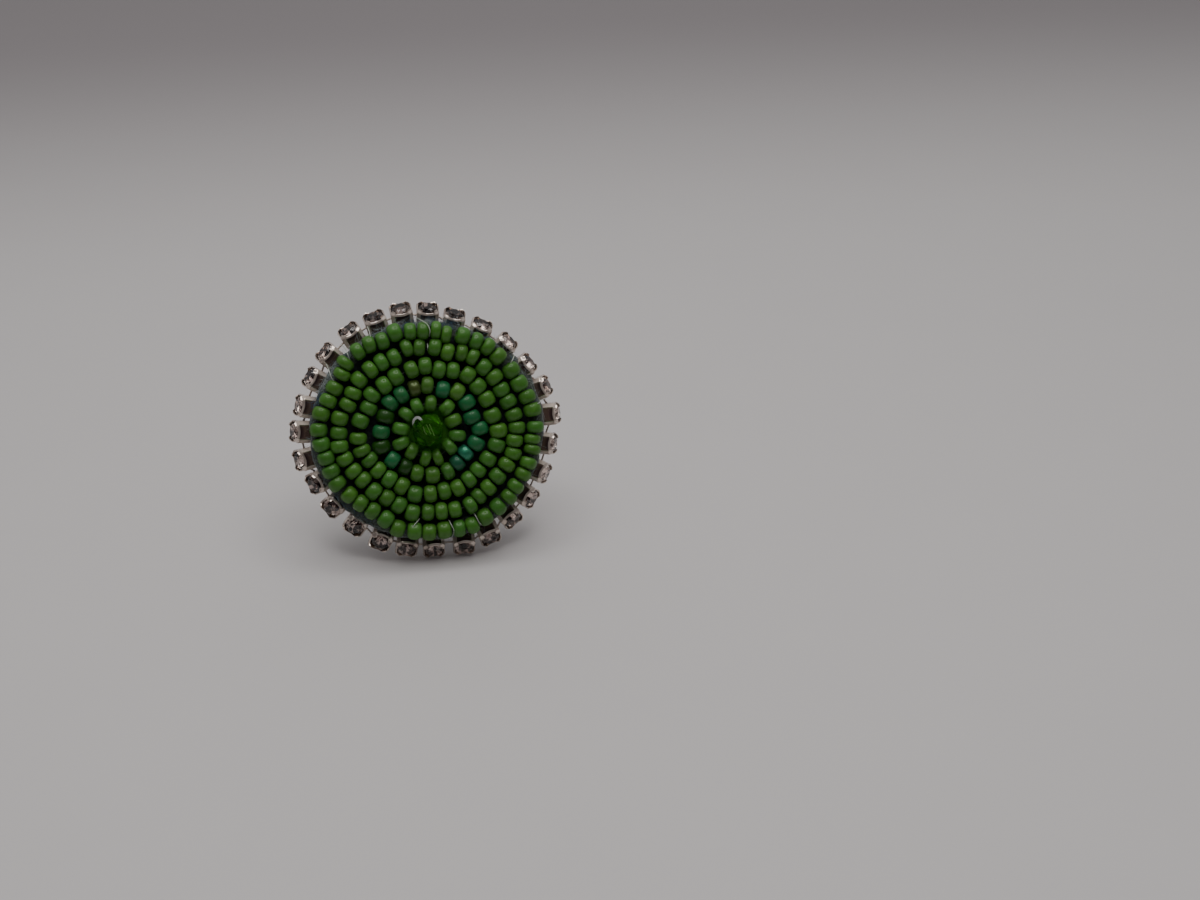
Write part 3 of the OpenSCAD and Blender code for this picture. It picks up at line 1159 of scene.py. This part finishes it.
def felt_cloth(name, colour, light):
    """Matted wool felt, with painted green light from the crystal round the disc's middle."""
    finish = Finish(name, {"Sheen Weight": 0.3, "Sheen Roughness": 0.5})
    # From the inner distance to the outer one the painted green light fades
    inner, outer = 1.8 * MM, 3.6 * MM
    mat = finish.noise(2600.0, 5.0, 0.65)
    away = finish.add(
        "ShaderNodeVectorMath", {"operation": "DISTANCE"}, {0: finish.place(), 1: DISC.translation[:]},
        "Value",
    )
    wool = finish.blend(mat.between(0.35, 0.75) * 0.35, colour, light)
    finish.vary(
        Base_Color=finish.blend(away.between(outer, inner), wool, srgb(70, 150, 30)),
        Roughness=0.9 + mat * 0.1,
    )
    finish.bump(mat, 0.12 * MM, 0.8)
    return finish.material


def slab(name, node, wave, seed):
    """A flat oval piece in a CAD disc's place, whose round edge wavers by that share of its radius."""
    corners = local_points(node)
    half_x = max(corner.x for corner in corners)
    half_y = max(corner.y for corner in corners)
    low = min(corner.z for corner in corners)
    high = max(corner.z for corner in corners)
    swell = waves(seed, (3, 5, 8, 13, 21, 34), 0.3, 1.0)
    sides, rings, edge_steps = 120, 10, 8
    # The radii, as shares, at which the flat faces end and the edge bulges out, and its bulge and roundness
    flat, edge, bulge, roundness = 0.93, 0.96, 0.04, 0.6
    profile = [(flat * step / rings, high) for step in range(rings + 1)]
    for step in range(edge_steps + 1):
        turn = math.pi / 2 - math.pi * step / edge_steps
        out = max(0.0, math.cos(turn)) ** roundness if 0 < step < edge_steps else 0.0
        profile.append((edge + bulge * out, (low + high) / 2 + (high - low) / 2 * math.sin(turn)))
    profile += [(share * flat, low) for share in (0.9, 0.5, 0.2, 0.0)]
    vertices = []
    for share, height in profile:
        for side in range(sides):
            turn = math.tau * side / sides
            stretch = share * (1 + wave * ripple(swell, turn) / len(swell) * share ** 4)
            vertices.append((half_x * stretch * math.cos(turn), half_y * stretch * math.sin(turn), height))
    return closed(mesh_object(name, vertices, grid_faces(len(profile), sides, flip=True)), SAME)


def fibre_shape():
    """One bent fibre, a millimetre tall, as a thin three-sided tube."""
    sides = 3
    bends = [(0, 0, 0), (0.05, 0.02, 0.25), (0.16, 0.06, 0.5), (0.34, 0.02, 0.75), (0.5, -0.1, 0.92)]
    radii = [0.014, 0.013, 0.012, 0.010, 0.005]
    vertices = []
    for (x, y, z), radius in zip(bends, radii):
        vertices.extend(Vector((x + out, y + up, z)) * MM for out, up in around(sides, radius))
    last = len(vertices) - sides
    caps = [(last, last + 1, last + 2), (2, 1, 0)]
    return mesh_object("fibre shape", vertices, grid_faces(len(bends), sides) + caps)


def fibre_wool():
    """Single fibres, bluish in part and pale in part."""
    finish = Finish("felt fibre", {"Roughness": 0.6})
    hue = finish.noise(500.0, 2.0)
    finish.vary(Base_Color=finish.blend(hue.between(0.4, 0.62), srgb(58, 96, 124), srgb(176, 188, 190)))
    return finish.material


def felt_edge(oval):
    """The felt's soft outer edge, pressed out between the outermost beads and the cups."""
    sides = 180
    swell = waves(21, (4, 7, 13, 22, 37), 0.03, 0.08)
    # How far the edge stands out where it is cut widest
    spare = 0.4
    # The radius inside which the beads hold the felt, and the width that moves, in millimetres
    inner, reach = 11.2, 1.75
    section = (
        (11.2, -0.1), (11.6, 0.02), (12.0, 0.06), (12.4, 0.06), (12.75, 0.0), (12.95, -0.12), (12.8, -0.26),
        (12.3, -0.34), (11.2, -0.34),
    )
    vertices = []
    for side in range(sides):
        turn = math.tau * side / sides
        # The felt is trimmed closer at the top
        out = spare * (1 - max(0.0, math.sin(turn)) ** 4) + ripple(swell, turn)
        for radius, height in section:
            stretched = radius + out * (radius - inner) / reach
            vertices.append(on_disc(360 * side / sides, stretched, height, oval) * MM)
    return closed(mesh_object("felt_edge", vertices, grid_faces(sides, len(section), wrap_rows=True)))


def fuzz_strip(oval):
    """A strip between the outermost beads and the cups, from which the felt's loose fibres stand."""
    steps = 180
    rows = ((12.4, 0.1), (12.9, 0.35), (13.4, 0.45))
    vertices, fuzz = [], []
    for step in range(steps):
        angle = 360 * step / steps
        before, after = next(pair for pair in zip(FUZZ, FUZZ[1:]) if pair[0][0] <= angle < pair[1][0])
        share = (angle - before[0]) / (after[0] - before[0])
        for radius, height in rows:
            vertices.append(on_disc(angle, radius * MM, height * MM, oval))
            fuzz.append(before[1] + (after[1] - before[1]) * share)
    faces = grid_faces(steps, len(rows), wrap_rows=True, wrap_columns=False)
    made = mesh_object("fuzz strip", vertices, faces)
    mark(made, "fuzz", fuzz)
    return made


class CUFFLINK_OT_felt(bpy.types.Operator):
    """Cuts the felt under the beads and raises its loose fibres"""

    bl_idname = "cufflink.felt"
    bl_label = "Foundation felt"

    def execute(self, context):
        settings = context.scene.cufflink_back
        oval = context.scene.cufflink_beads.oval
        felt = slab("foundation_felt_cloth", "foundation_felt", wave=0.012, seed=3)
        fibre = fibre_shape()
        loose = grown("felt_fibres", fuzz_strip(oval), fibres_on_felt(), {
            "Fibre": fibre, "Density": settings.fibre_density, "Length": settings.fibre_length / MM,
            "Shortest": 0.35, "Lean": settings.fibre_lean, "Seed": 11, "Material": fibre_wool(),
        })
        delete(fibre)
        cloth = felt_cloth("felt cloth", settings.felt[:], srgb(82, 96, 98))
        trim = felt_cloth("felt trim", settings.trim[:], srgb(148, 154, 146))
        finish_piece(felt, ["foundation_felt"], cloth, DISC)
        finish_piece(felt_edge(oval), (), trim, DISC)
        finish_piece(loose, place=DISC)
        return {"FINISHED"}


def suede_leather(settings):
    """Dark split leather with a short nap."""
    finish = Finish("suede", {"Sheen Weight": 0.4, "Sheen Roughness": 0.4})
    nap = finish.noise(4200.0, 4.0, 0.7)
    patches = finish.noise(260.0, 3.0).between(0.4, 0.65)
    finish.vary(
        Base_Color=finish.blend(patches * 0.5 + nap * 0.3, settings.suede[:], srgb(82, 76, 74)),
        Roughness=0.88 + nap * 0.12,
    )
    finish.bump(nap, 0.06 * MM, 0.7)
    return finish.material


class CUFFLINK_OT_backing(bpy.types.Operator):
    """Glues the suede behind the felt"""

    bl_idname = "cufflink.backing"
    bl_label = "Suede backing"

    def execute(self, context):
        made = slab("backing_suede", "backing", wave=0.006, seed=5)
        finish_piece(made, ["backing"], suede_leather(context.scene.cufflink_back), DISC)
        return {"FINISHED"}


def brushed_metal():
    """Satin metal, brushed along the post."""
    finish = Finish("brushed back", {"Metallic": 1.0})
    drawn = finish.add("ShaderNodeMapping", {}, {"Vector": finish.place(), "Scale": (9000.0, 900.0, 900.0)})
    grain = finish.add("ShaderNodeTexNoise", {}, {"Vector": drawn, "Scale": 1.0, "Detail": 2.0}, "Fac")
    wear = finish.noise(300.0, 4.0).between(0.45, 0.7)
    finish.vary(
        Base_Color=finish.blend(wear * 0.5, srgb(205, 202, 198), srgb(168, 162, 156)),
        Roughness=0.24 + grain * 0.14 + wear * 0.08,
    )
    finish.bump(grain, 0.006 * MM, 0.5)
    return finish.material


class CUFFLINK_OT_back(bpy.types.Operator):
    """Rounds the edges of the pad, the post and the toggle plate"""

    bl_idname = "cufflink.back"
    bl_label = "Metal back"

    def execute(self, context):
        settings = context.scene.cufflink_back
        made = rounded_copy(
            "cufflink_back_metal", "cufflink_back", settings.edge, segments=4, least_angle=50
        )
        shade(made.data, True)
        made.data.set_sharp_from_angle(angle=math.radians(40))
        finish_piece(made, ["cufflink_back"], brushed_metal())
        return {"FINISHED"}


def floor_paper(settings):
    """Pale matt paper with painted shade that darkens it behind the object."""
    finish = Finish("floor paper", {"Roughness": 0.55, "Specular IOR Level": 0.35})
    # Where the painted shade starts and where it is darkest
    near, far = 70 * MM, 240 * MM
    depth = finish.split(finish.place())[1]
    pale = finish.blend(finish.noise(60.0, 4.0) * 0.12, settings.floor[:], srgb(176, 172, 174))
    finish.vary(Base_Color=finish.blend(depth.between(near, far), pale, srgb(151, 146, 148)))
    return finish.material


def ring_lamp(settings):
    """A flat glowing ring overhead, facing down, with a dark hood over its hole."""
    sides = 48
    middle = Vector((settings.lamp_right, -settings.lamp_front, settings.lamp_height))
    radii = (settings.lamp_hole / 2, settings.lamp / 2)
    vertices = [middle + Vector((x, y, 0)) for radius in radii for x, y in around(sides, radius)]
    faces = grid_faces(2, sides) + [tuple(range(sides))]
    glow = Finish("lamp glow", {"Base Color": (0, 0, 0, 1), "Emission Strength": settings.lamp_glow})
    even = glow.noise(2.0, 1.0)
    glow.vary(Emission_Color=glow.blend(even * 0.1, (1.0, 0.97, 0.95, 1), (0.95, 0.97, 1.0, 1)))
    hood = Finish("lamp hood", {"Base Color": srgb(30, 30, 30), "Roughness": 0.9})
    lamp = mesh_object("ring lamp", vertices, faces, smooth=False)
    lamp.data.materials.append(glow.material)
    lamp.data.materials.append(hood.material)
    lamp.data.polygons[sides].material_index = 1


def studio_world():
    """A dim room with a pale ceiling, paler behind the object than before it."""
    world = bpy.data.worlds.new("studio")
    world.use_nodes = True
    tree = Tree(world.node_tree)
    beside, behind, rise = tree.split(tree.add("ShaderNodeTexCoord", output="Generated"))
    ceiling = (rise + behind * 0.2 + beside * 0.1).between(0.25, 0.95)
    wall = tree.blend(behind.between(-0.5, 0.6), (0.03, 0.02, 0.025, 1), (0.3, 0.29, 0.3, 1))
    roof = tree.blend(rise.between(0.72, 0.95), (0.5, 0.49, 0.49, 1), (0.75, 0.74, 0.73, 1))
    tree.feed(world.node_tree.nodes["Background"].inputs[0], tree.blend(ceiling, wall, roof))
    return world


def aimed_camera(settings):
    """A camera that looks at the disc, which lies left of the picture's middle and a little above it."""
    azimuth, elevation = settings.azimuth, settings.elevation
    back = Vector((
        math.sin(azimuth) * math.cos(elevation), -math.cos(azimuth) * math.cos(elevation), math.sin(elevation)
    ))
    right = Vector((math.cos(azimuth), math.sin(azimuth), 0))
    up = back.cross(right)
    place = DISC.translation + back * settings.distance
    aim = DISC.translation + right * settings.disc_left - up * settings.disc_up
    data = bpy.data.cameras.new("camera")
    data.lens = data.sensor_width * settings.distance / settings.view_width
    data.clip_start = 5 * MM
    camera = bpy.data.objects.new("camera", data)
    camera.location = place
    camera.rotation_euler = (aim - place).to_track_quat("-Z", "Y").to_euler()
    return camera


class CUFFLINK_OT_stage(bpy.types.Operator):
    """Lays the floor and sets the lights and the camera"""

    bl_idname = "cufflink.stage"
    bl_label = "Stage"

    def execute(self, context):
        settings = context.scene.cufflink_stage
        reach = 3000 * MM
        corners = [(-reach, -reach, 0), (reach, -reach, 0), (reach, reach, 0), (-reach, reach, 0)]
        floor = mesh_object("floor", corners, [(0, 1, 2, 3)], smooth=False)
        floor.data.materials.append(floor_paper(settings))
        ring_lamp(settings)
        context.scene.world = studio_world()
        camera = aimed_camera(settings)
        context.scene.collection.objects.link(camera)
        context.scene.camera = camera
        return {"FINISHED"}


class CUFFLINK_PT_panel(bpy.types.Panel):
    """The pieces of the cufflink and their sizes"""

    bl_label = "Beaded cufflink"
    bl_space_type = "VIEW_3D"
    bl_region_type = "UI"
    bl_category = "Cufflink"

    def draw(self, context):
        for name, settings in GROUPS.items():
            box = self.layout.box()
            for field in settings.__annotations__:
                box.prop(getattr(context.scene, name), field)
        for operator in OPERATORS:
            self.layout.operator(operator.bl_idname)


GROUPS = {
    "cufflink_beads": BeadSettings,
    "cufflink_crystal": CrystalSettings,
    "cufflink_rim": RimSettings,
    "cufflink_back": BackSettings,
    "cufflink_stage": StageSettings,
}
OPERATORS = (
    CUFFLINK_OT_beads,
    CUFFLINK_OT_thread,
    CUFFLINK_OT_crystal,
    CUFFLINK_OT_felt,
    CUFFLINK_OT_backing,
    CUFFLINK_OT_cups,
    CUFFLINK_OT_stones,
    CUFFLINK_OT_back,
    CUFFLINK_OT_stage,
)


def register():
    for group in (*GROUPS.values(), *OPERATORS, CUFFLINK_PT_panel):
        bpy.utils.register_class(group)
    for name, group in GROUPS.items():
        setattr(bpy.types.Scene, name, PointerProperty(type=group))


def unregister():
    for name in GROUPS:
        delattr(bpy.types.Scene, name)
    for group in (CUFFLINK_PT_panel, *reversed(OPERATORS), *reversed(GROUPS.values())):
        bpy.utils.unregister_class(group)


def main():
    register()
    for operator in OPERATORS:
        area, name = operator.bl_idname.split(".")
        getattr(getattr(bpy.ops, area), name)()


if __name__ == "__main__":
    main()
